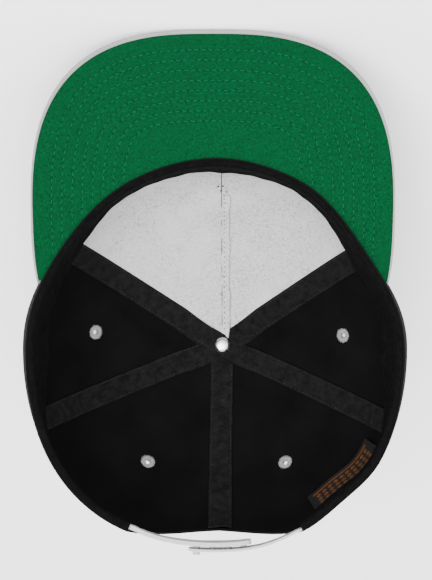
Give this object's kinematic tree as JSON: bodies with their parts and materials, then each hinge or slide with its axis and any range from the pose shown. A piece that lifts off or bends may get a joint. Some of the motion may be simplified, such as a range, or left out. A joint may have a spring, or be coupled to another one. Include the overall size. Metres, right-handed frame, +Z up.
{
  "type": "snapback cap",
  "caption": "Six-panel cap with a flat peak and a pegged plastic strap at the back, lying upside down with its sweatband, seam tapes and stiffened front showing.",
  "frame": {"origin": "middle of the bounding box on the surface the cap lies on", "axes": "+Z up from that surface, +Y level and towards the side where the peak is, +X to the wearer's left, which is on the right when the peak points away"},
  "size_m": [0.202, 0.2334, 0.1819],
  "materials": {
    "crown_twill": "matte",
    "sweatband": "matte",
    "seam_tape": "matte",
    "woven_label": "matte",
    "buckram": "matte",
    "peak_cover": "matte",
    "peak_underlay": "matte",
    "eyelet_thread": "satin",
    "strap_plastic": "satin",
    "rivet_metal": "polished"
  },
  "bodies": {
    "root": {"front_left_panel": "crown_twill", "front_right_panel": "crown_twill", "side_left_panel": "crown_twill", "side_right_panel": "crown_twill", "back_left_panel": "crown_twill", "back_right_panel": "crown_twill", "front_left_buckram": "buckram", "front_right_buckram": "buckram", "front_seam_fold": "buckram", "front_left_tape": "seam_tape", "rear_left_tape": "seam_tape", "back_tape": "seam_tape", "rear_right_tape": "seam_tape", "front_right_tape": "seam_tape", "label": "woven_label", "sweatband": "sweatband", "strap_with_pegs": "strap_plastic", "strap_with_holes": "strap_plastic", "peak_top": "peak_cover", "peak_underside": "peak_underlay", "button": "peak_cover", "button_rivet": "rivet_metal", "eyelet_side_left": "eyelet_thread", "eyelet_back_left": "eyelet_thread", "eyelet_back_right": "eyelet_thread", "eyelet_side_right": "eyelet_thread"}
  },
  "joints": []
}
